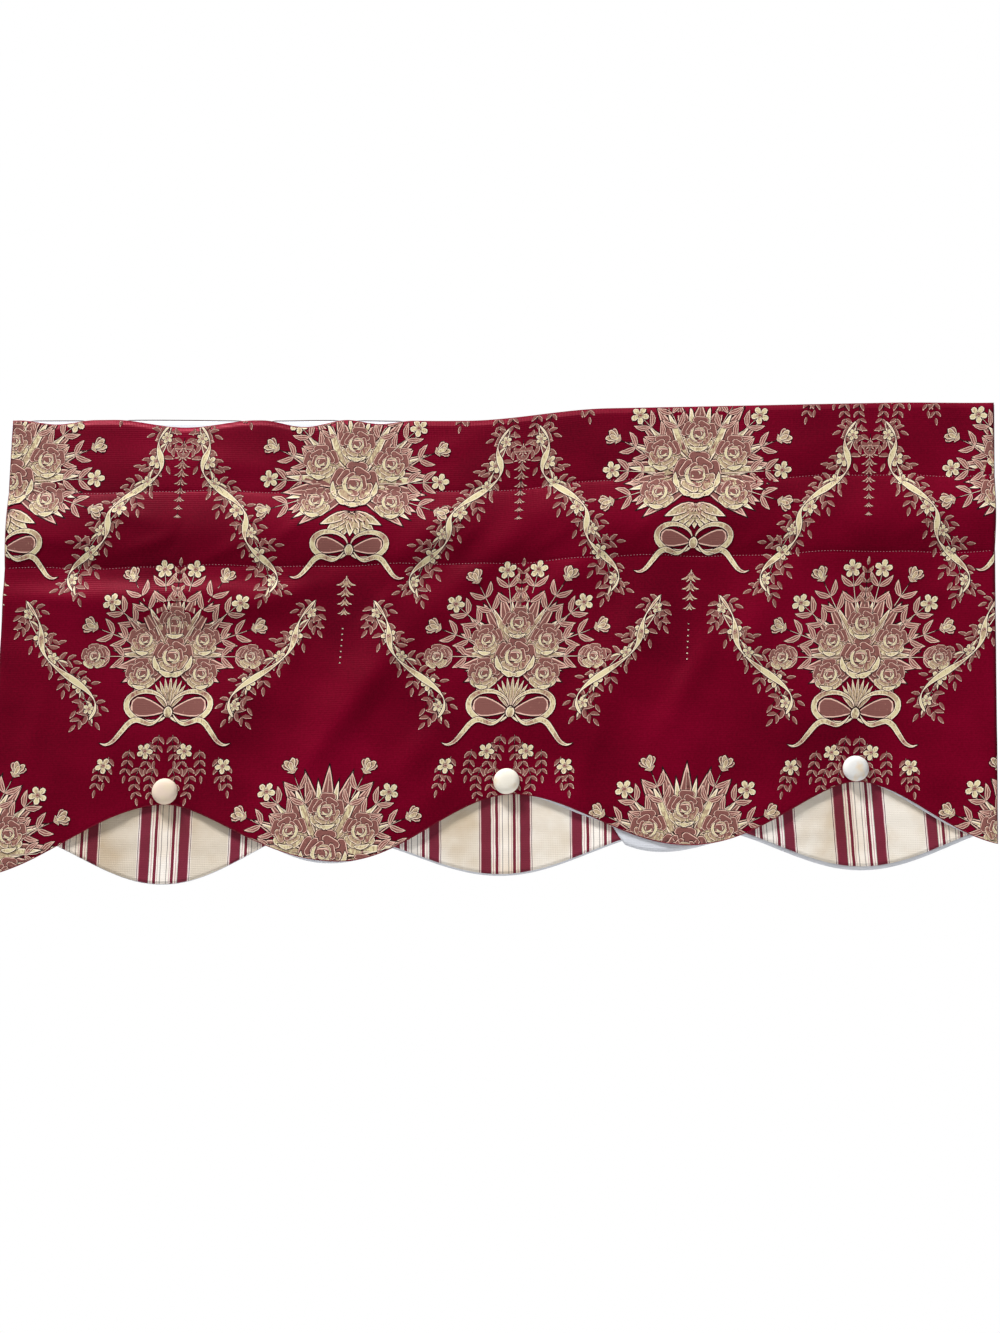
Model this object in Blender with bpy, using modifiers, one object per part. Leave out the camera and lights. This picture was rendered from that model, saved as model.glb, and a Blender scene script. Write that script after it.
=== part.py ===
"""Layered window valance: a scalloped face cloth with its lining, three striped inserts behind the
arches of the hem, each with a lining of its own, and a covered button at the top of each arch.

Units are metres and +Z is up. The face looks along -Y, and X runs along the top edge, with the origin
at the middle of that edge. A point of the cloth is named by u, its place across the width, and w, its
depth below the top edge, both measured on the cloth.
"""

import math
from collections import namedtuple

import bmesh
import bpy

# Driving sizes of the cloth
WIDTH = 1.016
HALF = WIDTH / 2
HEADER = 0.0765
POCKET = 0.079
POCKET_FOOT = HEADER + POCKET

# Thicknesses, and the clear distances between layers
FACE_THICK = 0.0012
LINING_THICK = 0.0010
INSERT_THICK = 0.0010
LAYER_GAP = 0.0003
INSERT_GAP = 0.0008

# The way the cloth hangs
HEM_SHIFT = 0.042  # sideways lean to the left, for each metre of depth
SAG_FADE = 0.30  # depth over which the sag of the top edge dies out
FACE_SWELL = 0.005  # how far the empty rod pocket stands open at the face
LINING_SWELL = 0.009  # and at the lining
FLARE = 0.0035  # how far the drops of the hem come forward, and the arches go back
FLARE_REACH = 0.28  # depth below the pocket over which that grows

# Buttons
BUTTON_RADIUS = 0.0132
BUTTON_HEIGHT = 0.0068
BUTTON_STEPS = 20
CALM_RADIUS = 0.030  # the cloth lies flat this far round a button
CALM_BLEND = 0.040

# Inserts
INSERT_HALF = 0.130
INSERT_TOP = POCKET_FOOT + 0.006
SCALLOP_HALF = 0.175  # from the top of an arch to the lowest point beside it

# Steps of the sheets. Layers that lie on each other share theirs
FACE_STEPS = 64
FACE_ROWS = 13
POCKET_ROWS = 4
INSERT_STEPS = 18
INSERT_ROWS = 9
SIDE_MARGIN = 0.0008  # the lining reaches this far past the face at each side
SHARP_ANGLE = math.radians(40)
WELD = 0.00005

# The hem's low and high points in turn. Sharpness shapes the flank to the right of each: over 1, the
# cloth stays high for longer beside the arch
HemPoint = namedtuple("HemPoint", "u w sharpness")
FACE_HEM = (
    HemPoint(-0.530, 0.4700, 1.00),
    HemPoint(-0.333, 0.3995, 0.80),
    HemPoint(-0.152, 0.4600, 0.97),
    HemPoint(0.018, 0.3955, 0.94),
    HemPoint(0.200, 0.4500, 0.82),
    HemPoint(0.366, 0.3890, 0.92),
    HemPoint(0.530, 0.4570, 1.00),
)

TopPoint = namedtuple("TopPoint", "u w")
TOP_LINE = (
    TopPoint(-0.508, 0.0000),
    TopPoint(-0.400, 0.0012),
    TopPoint(-0.210, 0.0050),
    TopPoint(-0.035, 0.0090),
    TopPoint(0.110, -0.0015),
    TopPoint(0.400, -0.0020),
    TopPoint(0.508, 0.0000),
)

# A stretch of edge that hangs lower than the rest: its lowest place, its reach to the left and to
# the right, and its depth
Stretch = namedtuple("Stretch", "u left right depth")
FACE_TOP_DIPS = (
    Stretch(-0.462, 0.040, 0.040, 0.0045),
    Stretch(-0.330, 0.075, 0.075, 0.0085),
    Stretch(-0.205, 0.045, 0.045, 0.0075),
    Stretch(-0.128, 0.035, 0.035, 0.0040),
)
LINING_TUCK = 0.0010
LINING_SHOWS = (
    Stretch(-0.180, 0.060, 0.070, 0.0035),
    Stretch(0.080, 0.065, 0.045, 0.0025),
    Stretch(0.134, 0.016, 0.105, 0.0145),
    Stretch(0.435, 0.070, 0.070, 0.0025),
)

# A soft crease: its middle, the direction of its crest above the horizontal, and its half sizes
Crease = namedtuple("Crease", "u w slant_deg along across height")
CREASES = (
    Crease(-0.352, 0.204, 1, 0.130, 0.021, 0.0050),
    Crease(-0.150, 0.292, 58, 0.080, 0.024, 0.0060),
    Crease(-0.085, 0.135, 43, 0.050, 0.019, 0.0042),
    Crease(-0.018, 0.160, 42, 0.062, 0.018, 0.0040),
    Crease(0.070, 0.175, 45, 0.045, 0.018, 0.0035),
    Crease(-0.078, 0.352, 47, 0.034, 0.016, 0.0030),
    Crease(-0.046, 0.385, 40, 0.036, 0.015, 0.0026),
    Crease(0.118, 0.270, 68, 0.085, 0.022, 0.0045),
    Crease(0.205, 0.310, 80, 0.060, 0.040, 0.0035),
    Crease(0.262, 0.225, 66, 0.048, 0.020, 0.0035),
    Crease(-0.275, 0.310, 50, 0.050, 0.022, 0.0030),
    Crease(0.345, 0.150, 35, 0.070, 0.028, 0.0025),
)

# A striped insert: its middle, the depth of its hem there, how far the hem rises beside it, and how
# far its lining hangs below it
Insert = namedtuple("Insert", "side u low rise peek")
INSERTS = (
    Insert("left", -0.332, 0.4795, 0.059, 0.0006),
    Insert("middle", 0.010, 0.4755, 0.042, 0.0020),
    Insert("right", 0.375, 0.4745, 0.046, 0.0040),
)

Button = namedtuple("Button", "side u w")
BUTTONS = (
    Button("left", -0.334, 0.3863),
    Button("middle", 0.012, 0.3822),
    Button("right", 0.366, 0.3758),
)

# Outer side of a covered button, from the middle of its dome to the middle of its back, as shares
# of its radius and height
BUTTON_PROFILE = (
    (0.00, 1.00),
    (0.30, 0.98),
    (0.58, 0.87),
    (0.80, 0.68),
    (0.94, 0.44),
    (1.00, 0.24),
    (0.95, 0.06),
    (0.80, 0.00),
    (0.00, 0.00),
)


def smooth_step(t):
    """0 below 0 and 1 above 1, with an even run between."""
    t = max(0.0, min(1.0, t))
    return t * t * (3 - 2 * t)


def swing(t):
    """Half a cosine wave, from 0 to 1."""
    return (1 - math.cos(math.pi * t)) / 2


def stretches_at(u, stretches):
    """What the stretches of an edge add at u."""
    total = 0.0
    for s in stretches:
        reach = s.left if u < s.u else s.right
        total += s.depth * smooth_step(1 - abs(u - s.u) / reach)
    return total


def sag(u):
    """How far the top edge hangs below a level line at u."""
    u = max(-HALF, min(HALF, u))
    for a, b in zip(TOP_LINE, TOP_LINE[1:]):
        if u <= b.u:
            return a.w + (b.w - a.w) * smooth_step((u - a.u) / (b.u - a.u))
    return TOP_LINE[-1].w


def face_hem(u):
    """Depth of the face's scalloped hem. Each flank runs between the top of an arch and a drop."""
    u = max(-HALF, min(HALF, u))
    for a, b in zip(FACE_HEM, FACE_HEM[1:]):
        if u <= b.u:
            arch, drop = (a, b) if a.w < b.w else (b, a)
            t = abs(u - arch.u) / abs(drop.u - arch.u)
            return arch.w + (drop.w - arch.w) * swing(t**a.sharpness)
    return FACE_HEM[-1].w


def face_top(u):
    return stretches_at(u, FACE_TOP_DIPS)


def lining_top(u):
    return 0.0


def lining_hem(u):
    return face_hem(u) - LINING_TUCK + stretches_at(u, LINING_SHOWS)


def insert_top(u):
    return INSERT_TOP


def insert_hem(insert):
    """The depth of an insert's rounded hem, as a function of u."""
    return lambda u: insert.low - insert.rise * swing(abs(u - insert.u) / SCALLOP_HALF)


def backing_hem(insert):
    return lambda u: insert_hem(insert)(u) + insert.peek


def pocket_swell(w):
    """0 at both rows of stitching and 1 half way between them."""
    t = (w - HEADER) / POCKET
    return math.sin(math.pi * t) if 0 < t < 1 else 0.0


def flare(u, w):
    """The backward sway of the hem's arches, and forward of its drops, growing with depth."""
    nearest = min(BUTTONS, key=lambda b: abs(b.u - u))
    grown = smooth_step((w - POCKET_FOOT) / FLARE_REACH)
    return -FLARE * grown * math.cos(math.pi * (u - nearest.u) / SCALLOP_HALF)


def crease_height(crease, u, w):
    angle = math.radians(crease.slant_deg)
    right, up = u - crease.u, crease.w - w
    along = right * math.cos(angle) + up * math.sin(angle)
    across = up * math.cos(angle) - right * math.sin(angle)
    spread = (along / crease.along) ** 2 + (across / crease.across) ** 2
    return crease.height * math.exp(-spread)


def calm(height, u, w):
    """height(u, w), levelled round each button, where the cloth is drawn flat."""
    result = height(u, w)
    for button in BUTTONS:
        distance = math.hypot(u - button.u, w - button.w)
        share = smooth_step((distance - CALM_RADIUS) / CALM_BLEND)
        result = height(button.u, button.w) * (1 - share) + result * share
    return result


def face_height(u, w):
    """How far the face stands forward of its plane."""
    creases = sum(crease_height(c, u, w) for c in CREASES)
    return flare(u, w) + creases + FACE_SWELL * pocket_swell(w)


def lining_height(u, w):
    return flare(u, w) - LINING_SWELL * pocket_swell(w)


def backing_height(u, w):
    return flare(u, w)


def place(u, w, forward, behind):
    """The point of the hanging cloth at (u, w), forward of a layer that lies behind the face plane."""
    hang = sag(u) * (1 - smooth_step(w / SAG_FADE)) - sag(0.0)
    return (u - HEM_SHIFT * w, behind - forward, -w - hang)


def material(name, colour, roughness):
    made = bpy.data.materials.new(name)
    made.use_nodes = True
    shader = made.node_tree.nodes["Principled BSDF"]
    shader.inputs["Base Color"].default_value = (*colour, 1.0)
    shader.inputs["Roughness"].default_value = roughness
    shader.inputs["Metallic"].default_value = 0.0
    made.diffuse_color = (*colour, 1.0)
    return made


def levels(u, top, hem, above, rows):
    """Depths of a sheet's rows at u. A face or lining has rows on both lines of stitching."""
    start, end = top(u), hem(u)
    if not above:
        return [start + (end - start) * i / rows for i in range(rows + 1)]
    header = [start, (start + HEADER) / 2]
    pocket = [HEADER + POCKET * i / POCKET_ROWS for i in range(POCKET_ROWS)]
    skirt = [POCKET_FOOT + (end - POCKET_FOOT) * i / rows for i in range(rows + 1)]
    return header + pocket + skirt


def sheet(collection, name, span, steps, rows, shape, behind, thick, finish, above=True):
    """One closed sheet of cloth. shape holds its top edge, its hem and its height, and above says
    that it reaches up over the rod pocket."""
    top, hem, height = shape
    across = [span[0] + (span[1] - span[0]) * i / steps for i in range(steps + 1)]
    depths = [levels(u, top, hem, above, rows) for u in across]
    last = len(depths[0]) - 1
    bm = bmesh.new()
    bmesh.ops.create_grid(bm, x_segments=steps, y_segments=last, size=1.0)
    for vert in bm.verts:
        column = round((vert.co.x + 1) / 2 * steps)
        row = round((1 - vert.co.y) / 2 * last)
        u, w = across[column], depths[column][row]
        vert.co = place(u, w, calm(height, u, w), behind)
    back = bmesh.ops.extrude_face_region(bm, geom=bm.faces[:])["geom"]
    moved = [part for part in back if isinstance(part, bmesh.types.BMVert)]
    bmesh.ops.translate(bm, verts=moved, vec=(0, thick, 0))
    bmesh.ops.recalc_face_normals(bm, faces=bm.faces)
    mesh = bpy.data.meshes.new(name)
    bm.to_mesh(mesh)
    bm.free()
    mesh.shade_smooth()
    mesh.set_sharp_from_angle(angle=SHARP_ANGLE)
    mesh.materials.append(finish)
    made = bpy.data.objects.new(name, mesh)
    collection.objects.link(made)
    return made


def covered_button(collection, button, finish):
    """A domed button turned about its axis, which points out of the face."""
    name = "button_" + button.side
    mesh = bpy.data.meshes.new(name)
    bm = bmesh.new()
    line = [bm.verts.new((r * BUTTON_RADIUS, 0, h * BUTTON_HEIGHT)) for r, h in BUTTON_PROFILE]
    for a, b in zip(line, line[1:]):
        bm.edges.new((a, b))
    bm.to_mesh(mesh)
    bm.free()
    mesh.materials.append(finish)
    made = bpy.data.objects.new(name, mesh)
    seat = calm(face_height, button.u, button.w) + LAYER_GAP
    made.location = place(button.u, button.w, seat, 0.0)
    made.rotation_euler = (math.radians(90), 0, 0)
    turn = made.modifiers.new("turn", "SCREW")
    turn.steps = turn.render_steps = BUTTON_STEPS
    turn.use_merge_vertices = True
    turn.merge_threshold = WELD
    turn.use_smooth_shade = True
    collection.objects.link(made)
    return made


def main():
    for old in list(bpy.data.objects):
        bpy.data.objects.remove(old)
    valance = bpy.data.collections.new("window_valance")
    bpy.context.scene.collection.children.link(valance)

    red = material("red_figured_cloth", (0.125, 0.003, 0.010), 0.75)
    white = material("white_lining", (0.78, 0.78, 0.76), 0.85)
    striped = material("ivory_striped_cloth", (0.70, 0.62, 0.50), 0.80)
    ivory = material("ivory_button_cloth", (0.72, 0.66, 0.57), 0.75)

    face_back = FACE_THICK
    lining_front = face_back + LAYER_GAP
    insert_front = lining_front + LINING_THICK + INSERT_GAP
    backing_front = insert_front + INSERT_THICK + LAYER_GAP
    face_shape = (face_top, face_hem, face_height)
    lining_shape = (lining_top, lining_hem, lining_height)
    lining_span = (-HALF - SIDE_MARGIN, HALF + SIDE_MARGIN)

    sheet(
        valance, "face_panel", (-HALF, HALF), FACE_STEPS, FACE_ROWS, face_shape, 0.0,
        FACE_THICK, red,
    )
    sheet(
        valance, "face_lining", lining_span, FACE_STEPS, FACE_ROWS, lining_shape, lining_front,
        LINING_THICK, white,
    )
    for insert in INSERTS:
        span = (insert.u - INSERT_HALF, insert.u + INSERT_HALF)
        cloth_shape = (insert_top, insert_hem(insert), backing_height)
        lining_of_insert = (insert_top, backing_hem(insert), backing_height)
        sheet(
            valance, "insert_" + insert.side, span, INSERT_STEPS, INSERT_ROWS, cloth_shape,
            insert_front, INSERT_THICK, striped, above=False,
        )
        sheet(
            valance, "insert_lining_" + insert.side, span, INSERT_STEPS, INSERT_ROWS,
            lining_of_insert, backing_front, LINING_THICK, white, above=False,
        )
    for button in BUTTONS:
        covered_button(valance, button, ivory)


main()
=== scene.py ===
"""Dresses the window valance: figured red face cloth with its lining, striped inserts with theirs,
rows of stitching, covered buttons, and the stage around them.

Cloth is laid out flat first. A point of it is named by u, its place to the right of the middle, and
w, its depth below the top edge, in metres. The woven figure is drawn in millimetres about the middle
of each bouquet, with y upwards. hang() then carries everything to where it hangs.
"""

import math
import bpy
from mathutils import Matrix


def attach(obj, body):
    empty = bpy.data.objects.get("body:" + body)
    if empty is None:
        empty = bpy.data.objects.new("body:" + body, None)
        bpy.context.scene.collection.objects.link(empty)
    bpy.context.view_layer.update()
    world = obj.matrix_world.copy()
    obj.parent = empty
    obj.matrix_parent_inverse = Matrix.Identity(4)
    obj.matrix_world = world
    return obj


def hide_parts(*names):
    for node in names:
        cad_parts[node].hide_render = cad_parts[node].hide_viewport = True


bl_info = {
    "name": "Window Valance",
    "version": (1, 0, 0),
    "blender": (4, 5, 0),
    "location": "View3D > Sidebar > Valance",
    "description": "Builds the cloths, woven figure, stitching and buttons of a lined window valance",
    "category": "Add Mesh",
}

from collections import namedtuple

import bmesh
import bpy
import numpy as np
from mathutils import Matrix, Vector

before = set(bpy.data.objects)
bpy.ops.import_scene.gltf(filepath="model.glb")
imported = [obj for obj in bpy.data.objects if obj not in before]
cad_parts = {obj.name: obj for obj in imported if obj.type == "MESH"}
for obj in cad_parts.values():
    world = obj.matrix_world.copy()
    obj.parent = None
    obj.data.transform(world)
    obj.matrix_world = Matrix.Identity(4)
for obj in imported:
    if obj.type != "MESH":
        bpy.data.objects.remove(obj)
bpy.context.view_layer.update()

MM = 0.001

# Sizes of the cut cloth and of how it hangs
HALF = 0.508
HEADER = 0.0765
POCKET = 0.079
POCKET_FOOT = HEADER + POCKET
HEM_SHIFT = 0.042
SAG_FADE = 0.30
FACE_SWELL = 0.005
LINING_SWELL = 0.009
FLARE = 0.0035
FLARE_REACH = 0.28
CALM_RADIUS = 0.030
CALM_BLEND = 0.040
SCALLOP_HALF = 0.175
INSERT_HALF = 0.130
INSERT_TOP = POCKET_FOOT + 0.006
RIPPLE_HEIGHT = 0.00030
RIPPLE_REACH = 0.009
FURROW_DEPTH = 0.00035
FURROW_REACH = 0.0022
TUCK_DEPTH = 0.00018
BUTTON_GAP = 0.0003

# Distance of the front of each layer behind the plane of the face, and the thickness shown
LINING_BEHIND = 0.0016
INSERT_BEHIND = 0.0033
BACKING_BEHIND = 0.0047
CLOTH_THICK = 0.0007
# Depth of the painted shadow line along the lining's top edge
TOP_SHADOW_DEPTH = 0.0011

HemPoint = namedtuple("HemPoint", "u w sharpness")
FACE_HEM = (
    HemPoint(-0.530, 0.4700, 1.00),
    HemPoint(-0.333, 0.3995, 0.80),
    HemPoint(-0.152, 0.4600, 0.97),
    HemPoint(0.018, 0.3955, 0.94),
    HemPoint(0.200, 0.4500, 0.82),
    HemPoint(0.366, 0.3890, 0.92),
    HemPoint(0.530, 0.4570, 1.00),
)

TopPoint = namedtuple("TopPoint", "u w")
TOP_LINE = (
    TopPoint(-0.508, 0.0000),
    TopPoint(-0.400, 0.0012),
    TopPoint(-0.210, 0.0050),
    TopPoint(-0.035, 0.0090),
    TopPoint(0.110, -0.0015),
    TopPoint(0.400, -0.0020),
    TopPoint(0.508, 0.0000),
)

Stretch = namedtuple("Stretch", "u left right depth")
FACE_TOP_DIPS = (
    Stretch(-0.462, 0.040, 0.040, 0.0045),
    Stretch(-0.330, 0.075, 0.075, 0.0085),
    Stretch(-0.205, 0.045, 0.045, 0.0075),
    Stretch(-0.128, 0.035, 0.035, 0.0040),
)
LINING_TUCK = 0.0010
LINING_SHOWS = (
    Stretch(-0.180, 0.060, 0.070, 0.0035),
    Stretch(0.080, 0.065, 0.045, 0.0033),
    Stretch(0.134, 0.016, 0.105, 0.0145),
    Stretch(0.435, 0.070, 0.070, 0.0033),
)

Crease = namedtuple("Crease", "u w slant_deg along across height")
CREASES = (
    Crease(-0.352, 0.204, 1, 0.130, 0.021, 0.0050),
    Crease(-0.150, 0.292, 58, 0.080, 0.024, 0.0060),
    Crease(-0.085, 0.135, 43, 0.050, 0.019, 0.0042),
    Crease(-0.018, 0.160, 42, 0.062, 0.018, 0.0040),
    Crease(0.070, 0.175, 45, 0.045, 0.018, 0.0035),
    Crease(-0.078, 0.352, 47, 0.034, 0.016, 0.0030),
    Crease(-0.046, 0.385, 40, 0.036, 0.015, 0.0026),
    Crease(0.118, 0.270, 68, 0.085, 0.022, 0.0045),
    Crease(0.205, 0.310, 80, 0.060, 0.040, 0.0035),
    Crease(0.262, 0.225, 66, 0.048, 0.020, 0.0035),
    Crease(-0.275, 0.310, 50, 0.050, 0.022, 0.0030),
    Crease(0.345, 0.150, 35, 0.070, 0.028, 0.0025),
)

# Fine wrinkles that the sewing of the pocket draws into the face
WRINKLES = (
    Crease(-0.392, 0.101, -12, 0.034, 0.0060, 0.0012),
    Crease(-0.358, 0.131, 16, 0.026, 0.0055, 0.0015),
    Crease(-0.334, 0.128, 62, 0.016, 0.0060, -0.0010),
    Crease(-0.278, 0.138, 24, 0.030, 0.0065, 0.0014),
    Crease(-0.455, 0.128, -8, 0.030, 0.0080, 0.0012),
    Crease(-0.215, 0.118, 38, 0.026, 0.0060, 0.0011),
    Crease(-0.140, 0.112, 50, 0.024, 0.0060, 0.0012),
    Crease(-0.036, 0.128, 48, 0.022, 0.0060, 0.0012),
    Crease(0.052, 0.134, 30, 0.028, 0.0060, 0.0010),
    Crease(0.150, 0.122, 44, 0.022, 0.0060, 0.0008),
    Crease(0.262, 0.140, 28, 0.028, 0.0060, 0.0008),
    Crease(0.420, 0.132, 34, 0.024, 0.0060, 0.0007),
    Crease(-0.300, 0.182, 4, 0.060, 0.0080, 0.0011),
    Crease(-0.440, 0.190, -6, 0.040, 0.0080, 0.0010),
    Crease(-0.120, 0.198, 52, 0.030, 0.0075, 0.0012),
    Crease(0.020, 0.205, 46, 0.030, 0.0075, 0.0010),
    Crease(-0.205, 0.240, 62, 0.042, 0.0090, 0.0013),
    Crease(-0.180, 0.348, 56, 0.034, 0.0085, 0.0012),
    Crease(0.098, 0.352, 66, 0.040, 0.0090, 0.0011),
    Crease(0.160, 0.215, 70, 0.036, 0.0090, 0.0010),
    Crease(-0.470, 0.330, 80, 0.045, 0.0100, 0.0014),
    Crease(0.300, 0.330, 72, 0.038, 0.0100, 0.0009),
    Crease(0.440, 0.270, 60, 0.046, 0.0100, 0.0009),
    Crease(-0.060, 0.030, 20, 0.050, 0.0100, 0.0010),
    Crease(-0.300, 0.046, -6, 0.060, 0.0110, 0.0011),
    Crease(0.330, 0.040, 12, 0.060, 0.0120, 0.0008),
    Crease(-0.410, 0.184, 0, 0.130, 0.0140, 0.0036),
    Crease(-0.230, 0.188, 14, 0.060, 0.0130, 0.0030),
    Crease(-0.360, 0.218, 1, 0.130, 0.0140, -0.0020),
    Crease(-0.132, 0.287, 55, 0.060, 0.0130, 0.0034),
    Crease(0.196, 0.284, 62, 0.060, 0.0130, 0.0032),
    Crease(-0.020, 0.262, 40, 0.040, 0.0120, 0.0012),
    Crease(0.430, 0.205, 16, 0.060, 0.0130, 0.0014),
)

# Stripe lean is the sideways run of a stripe for each metre downwards
Insert = namedtuple("Insert", "side u low rise peek stripe_lean stripe_middle field")
INSERTS = (
    # The left insert's field is the ivory darkened and warmed: painted shade.
    Insert("left", -0.332, 0.4795, 0.059, 0.0006, -0.010, -0.333, "ivory_shaded"),
    Insert("middle", 0.010, 0.4755, 0.042, 0.0020, 0.031, 0.014, "ivory"),
    Insert("right", 0.375, 0.4745, 0.046, 0.0040, 0.085, 0.375, "ivory"),
)

Button = namedtuple("Button", "side u w cloth")
BUTTONS = (
    # The left button's cloth is a darker, warmer copy of the ivory: painted shade.
    Button("left", -0.334, 0.3863, "button_shaded"),
    Button("middle", 0.012, 0.3822, "button_ivory"),
    Button("right", 0.366, 0.3758, "button_cool"),
)


# How the cloth hangs


def ease(t):
    """0 below 0 and 1 above 1, with an even run between."""
    t = np.clip(t, 0.0, 1.0)
    return t * t * (3 - 2 * t)


def swing(t):
    """Half a wave, from 0 at 0 to 1 at 1."""
    return (1 - np.cos(np.pi * t)) / 2


def stretches_at(u, stretches):
    """The depths of all stretches, added up at u."""
    total = np.zeros_like(u)
    for s in stretches:
        reach = np.where(u < s.u, s.left, s.right)
        total += s.depth * ease(1 - np.abs(u - s.u) / reach)
    return total


def sag(u):
    """How far the top edge hangs below a level line at u."""
    u = np.clip(u, -HALF, HALF)
    result = np.zeros_like(u)
    for a, b in zip(TOP_LINE, TOP_LINE[1:]):
        here = (u >= a.u) & (u <= b.u)
        result = np.where(here, a.w + (b.w - a.w) * ease((u - a.u) / (b.u - a.u)), result)
    return result


def face_hem(u):
    """Depth of the face's scalloped hem."""
    u = np.clip(u, -HALF, HALF)
    result = np.zeros_like(u)
    for a, b in zip(FACE_HEM, FACE_HEM[1:]):
        here = (u >= a.u) & (u <= b.u)
        arch, drop = (a, b) if a.w < b.w else (b, a)
        t = np.abs(u - arch.u) / abs(drop.u - arch.u)
        depth = arch.w + (drop.w - arch.w) * swing(t**a.sharpness)
        result = np.where(here, depth, result)
    return result


def face_top(u):
    return stretches_at(u, FACE_TOP_DIPS)


def lining_top(u):
    """The lining's top edge shows only where the face dips."""
    return 0.0018 * (1 - ease(face_top(u) / 0.0015))


def lining_hem(u):
    return face_hem(u) - LINING_TUCK + stretches_at(u, LINING_SHOWS)


def insert_top(u):
    return np.full_like(u, INSERT_TOP)


def insert_hem(insert, extra=0.0):
    """The depth of an insert's rounded hem, as a function of u."""
    return lambda u: (
        insert.low + extra - insert.rise * swing(np.abs(u - insert.u) / SCALLOP_HALF)
    )


def pocket_swell(w):
    t = (w - HEADER) / POCKET
    return np.where((t > 0) & (t < 1), np.sin(np.pi * np.clip(t, 0, 1)), 0.0)


def flare(u, w):
    """The backward sway of the hem's arches, and forward of its drops, growing with depth."""
    middles = np.array([b.u for b in BUTTONS])
    nearest = middles[np.argmin(np.abs(np.subtract.outer(u, middles)), axis=-1)]
    grown = ease((w - POCKET_FOOT) / FLARE_REACH)
    return -FLARE * grown * np.cos(np.pi * (u - nearest) / SCALLOP_HALF)


def crease_height(crease, u, w):
    angle = math.radians(crease.slant_deg)
    right, up = u - crease.u, crease.w - w
    along = right * math.cos(angle) + up * math.sin(angle)
    across = up * math.cos(angle) - right * math.sin(angle)
    return crease.height * np.exp(-((along / crease.along) ** 2) - (across / crease.across) ** 2)


def calm(height, u, w):
    """height(u, w), levelled round each button, where the cloth is drawn flat."""
    result = height(u, w)
    for b in BUTTONS:
        middle = height(np.array([b.u]), np.array([b.w]))[0]
        share = ease((np.hypot(u - b.u, w - b.w) - CALM_RADIUS) / CALM_BLEND)
        result = middle * (1 - share) + result * share
    return result


def waver(u):
    """How far a row of stitching strays from its level line, as a hand-guided one does."""
    return 0.0013 * np.sin(u * 29 + 0.8) + 0.0006 * np.sin(u * 71)


def pucker(u, w):
    """Small ripples that a tight row of stitching draws into the cloth, and the furrow it lies in."""
    total = np.zeros_like(u)
    for row in (HEADER, POCKET_FOOT):
        away = np.abs(w - row - waver(u))
        ripple = np.sin(u * 610 + 2.5 * np.sin(u * 47)) * (0.6 + 0.4 * np.sin(u * 29 + row * 90))
        total += RIPPLE_HEIGHT * ripple * np.exp(-((away / RIPPLE_REACH) ** 2))
        total -= FURROW_DEPTH * np.exp(-((away / FURROW_REACH) ** 2))
    return total


def slack(u, w):
    """The slight unevenness of cloth that isn't pulled tight. It only comes forward, clear of the
    lining."""
    broad = 1 + np.sin(u * 31 + w * 18 + 1.3) * np.sin(w * 27 - u * 11)
    fine = 1 + np.sin(u * 83 - w * 61) * np.sin(w * 74 + u * 37 + 0.7)
    return (0.0009 * broad + 0.0003 * fine) * ease((w - 0.01) / 0.05)


def away_from_buttons(u, w):
    """0 under a button, where the cloth is drawn flat, and 1 clear of it."""
    share = np.ones_like(u)
    for b in BUTTONS:
        share = share * ease((np.hypot(u - b.u, w - b.w) - 0.016) / CALM_BLEND)
    return share


def turned_edge(distance, depth=0.0007, width=0.0035):
    """How far the surface falls back at a turned edge, at a distance from it."""
    return -depth * np.clip(1 - distance / width, 0, 1) ** 2


def face_height(u, w):
    """How far the face stands forward of its plane."""
    creases = sum(crease_height(c, u, w) for c in CREASES)
    return flare(u, w) + creases + FACE_SWELL * pocket_swell(w)


def wrinkled(u, w):
    return sum(crease_height(c, u, w) for c in WRINKLES)


def face_surface(u, w):
    edge = np.minimum(face_hem(u) - w, np.minimum(w - face_top(u), HALF - np.abs(u)))
    loose = (wrinkled(u, w) + slack(u, w)) * away_from_buttons(u, w)
    return calm(face_height, u, w) + loose + pucker(u, w) + turned_edge(edge)


def lining_height(u, w):
    return flare(u, w) - LINING_SWELL * pocket_swell(w)


def lining_surface(u, w):
    edge = np.minimum(lining_hem(u) - w, HALF - np.abs(u))
    return calm(lining_height, u, w) + pucker(u, w) * 0.6 + turned_edge(edge, 0.0003)


def backing_surface(u, w):
    """The inserts hang straighter than the face, with faint level creases from lying folded."""
    folds = 0.00022 * np.sin(w * 260 + 1.5 * np.sin(u * 21)) * np.sin(u * 33 + w * 9)
    return calm(flare, u, w) + folds * ease((w - INSERT_TOP) / 0.03)


def hang(points, surface, behind):
    """points are rows of u, w and a rise above the surface. The result is where they hang."""
    u, w, rise = points[:, 0], points[:, 1], points[:, 2]
    drop = w + sag(u) * (1 - ease(w / SAG_FADE)) - sag(np.zeros(1))[0]
    return np.column_stack((u - HEM_SHIFT * w, behind - surface(u, w) - rise, -drop))


# Meshes


def made_object(name, bm, materials):
    """Empties a bmesh into a new smooth object at the origin."""
    mesh = bpy.data.meshes.new(name)
    bm.to_mesh(mesh)
    bm.free()
    mesh.shade_smooth()
    for material in materials:
        mesh.materials.append(material)
    obj = bpy.data.objects.new(name, mesh)
    bpy.context.scene.collection.objects.link(obj)
    return obj


def spread(first, last, count):
    """Numbers at count even steps, with both ends."""
    return [first + (last - first) * i / count for i in range(count + 1)]


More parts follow.
